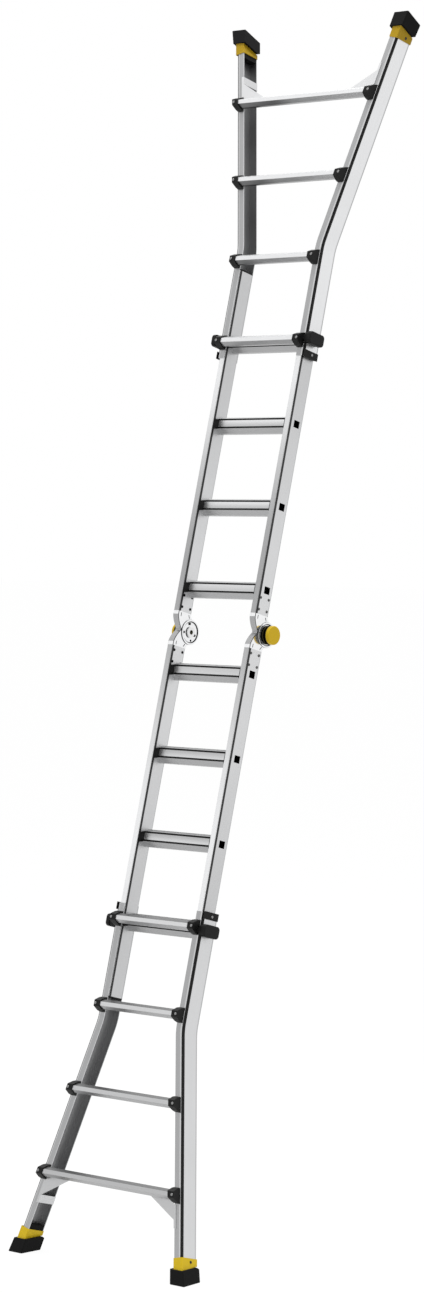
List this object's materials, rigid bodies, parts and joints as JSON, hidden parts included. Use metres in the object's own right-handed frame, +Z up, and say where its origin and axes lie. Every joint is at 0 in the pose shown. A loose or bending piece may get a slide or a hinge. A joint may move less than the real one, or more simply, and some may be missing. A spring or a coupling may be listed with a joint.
{
  "type": "telescopic ladder",
  "caption": "Leaning telescopic ladder: two flared sections slide over inner sections that a locking hinge joins, with lock handles, end braces and rubber feet.",
  "frame": {"origin": "on the floor, at the middle of the ladder's box, with the soles of the feet at Z = 0", "axes": "+X to the climber's right, +Y from the climber to the wall, +Z up; the stiles lean back by 15 degrees"},
  "size_m": [0.7762, 1.1562, 4.0441],
  "materials": {
    "aluminium": "mill-finished extrusion",
    "bright_aluminium": "bright pressed sheet",
    "black_plastic": "moulded, fine grain",
    "yellow_plastic": "moulded, satin",
    "rubber": "moulded, matt",
    "steel": "plated",
    "polished_steel": "polished"
  },
  "bodies": {
    "lower_left_lock": {"lower_outer_left_lock_handle": "black_plastic", "lower_outer_left_lock_pin": "steel"},
    "lower_right_lock": {"lower_outer_right_lock_handle": "black_plastic", "lower_outer_right_lock_pin": "steel"},
    "lower_outer": {"lower_outer_corner_braces": "bright_aluminium", "lower_outer_end_guides": "black_plastic", "lower_outer_foot_collars": "yellow_plastic", "lower_outer_foot_pads": "rubber", "lower_outer_left_stile": "aluminium", "lower_outer_lock_brackets": "black_plastic", "lower_outer_lock_rung": "aluminium", "lower_outer_right_stile": "aluminium", "lower_outer_rivets": "steel", "lower_outer_rung_1": "aluminium", "lower_outer_rung_2": "aluminium", "lower_outer_rung_3": "aluminium", "lower_outer_rung_brackets": "black_plastic"},
    "lower_inner": {"lower_hinge_rivets": "steel", "lower_inner_end_plugs": "black_plastic", "lower_inner_left_stile": "aluminium", "lower_inner_right_stile": "aluminium", "lower_inner_rung_1": "aluminium", "lower_inner_rung_2": "aluminium", "lower_inner_rung_3": "aluminium", "lower_inner_rung_4": "aluminium", "lower_inner_rung_end_blocks": "black_plastic", "lower_left_hinge_arm": "bright_aluminium", "lower_right_hinge_arm": "bright_aluminium", "hinge_pivots": "polished_steel"},
    "upper_left_lock": {"upper_outer_left_lock_handle": "black_plastic", "upper_outer_left_lock_pin": "steel"},
    "upper_right_lock": {"upper_outer_right_lock_handle": "black_plastic", "upper_outer_right_lock_pin": "steel"},
    "upper_outer": {"upper_outer_corner_braces": "bright_aluminium", "upper_outer_end_guides": "black_plastic", "upper_outer_foot_collars": "yellow_plastic", "upper_outer_foot_pads": "rubber", "upper_outer_left_stile": "aluminium", "upper_outer_lock_brackets": "black_plastic", "upper_outer_lock_rung": "aluminium", "upper_outer_right_stile": "aluminium", "upper_outer_rivets": "steel", "upper_outer_rung_1": "aluminium", "upper_outer_rung_2": "aluminium", "upper_outer_rung_3": "aluminium", "upper_outer_rung_brackets": "black_plastic"},
    "upper_inner": {"upper_hinge_rivets": "steel", "upper_inner_end_plugs": "black_plastic", "upper_inner_left_stile": "aluminium", "upper_inner_right_stile": "aluminium", "upper_inner_rung_1": "aluminium", "upper_inner_rung_2": "aluminium", "upper_inner_rung_3": "aluminium", "upper_inner_rung_4": "aluminium", "upper_inner_rung_end_blocks": "black_plastic", "upper_left_hinge_arm": "bright_aluminium", "upper_right_hinge_arm": "bright_aluminium"},
    "left_knob": {"left_hinge_knob": "yellow_plastic"},
    "right_knob": {"right_hinge_knob": "yellow_plastic"}
  },
  "joints": [
    {"name": "lower_telescope", "type": "slide", "parent": "lower_outer", "child": "lower_inner", "axis": [0, -0.2588, -0.9659], "range_m": [0, 0.84]},
    {"name": "fold", "type": "hinge", "parent": "lower_inner", "child": "upper_inner", "pos_m": [0, 0.04317, 2.00112], "axis": [-1, 0, 0], "range_deg": [0, 180]},
    {"name": "upper_telescope", "type": "slide", "parent": "upper_inner", "child": "upper_outer", "axis": [0, -0.2588, -0.9659], "range_m": [0, 0.84]},
    {"name": "lower_left_lock_slide", "type": "slide", "parent": "lower_outer", "child": "lower_left_lock", "axis": [1, 0, 0], "range_m": [0, 0.011]},
    {"name": "lower_right_lock_slide", "type": "slide", "parent": "lower_outer", "child": "lower_right_lock", "axis": [-1, 0, 0], "range_m": [0, 0.011]},
    {"name": "upper_left_lock_slide", "type": "slide", "parent": "upper_outer", "child": "upper_left_lock", "axis": [1, 0, 0], "range_m": [0, 0.011]},
    {"name": "upper_right_lock_slide", "type": "slide", "parent": "upper_outer", "child": "upper_right_lock", "axis": [-1, 0, 0], "range_m": [0, 0.011]},
    {"name": "left_knob_press", "type": "slide", "parent": "lower_inner", "child": "left_knob", "axis": [1, 0, 0], "range_m": [0, 0.0085], "stiffness_N_per_m": 1500},
    {"name": "right_knob_press", "type": "slide", "parent": "lower_inner", "child": "right_knob", "axis": [-1, 0, 0], "range_m": [0, 0.0085], "stiffness_N_per_m": 1500}
  ]
}
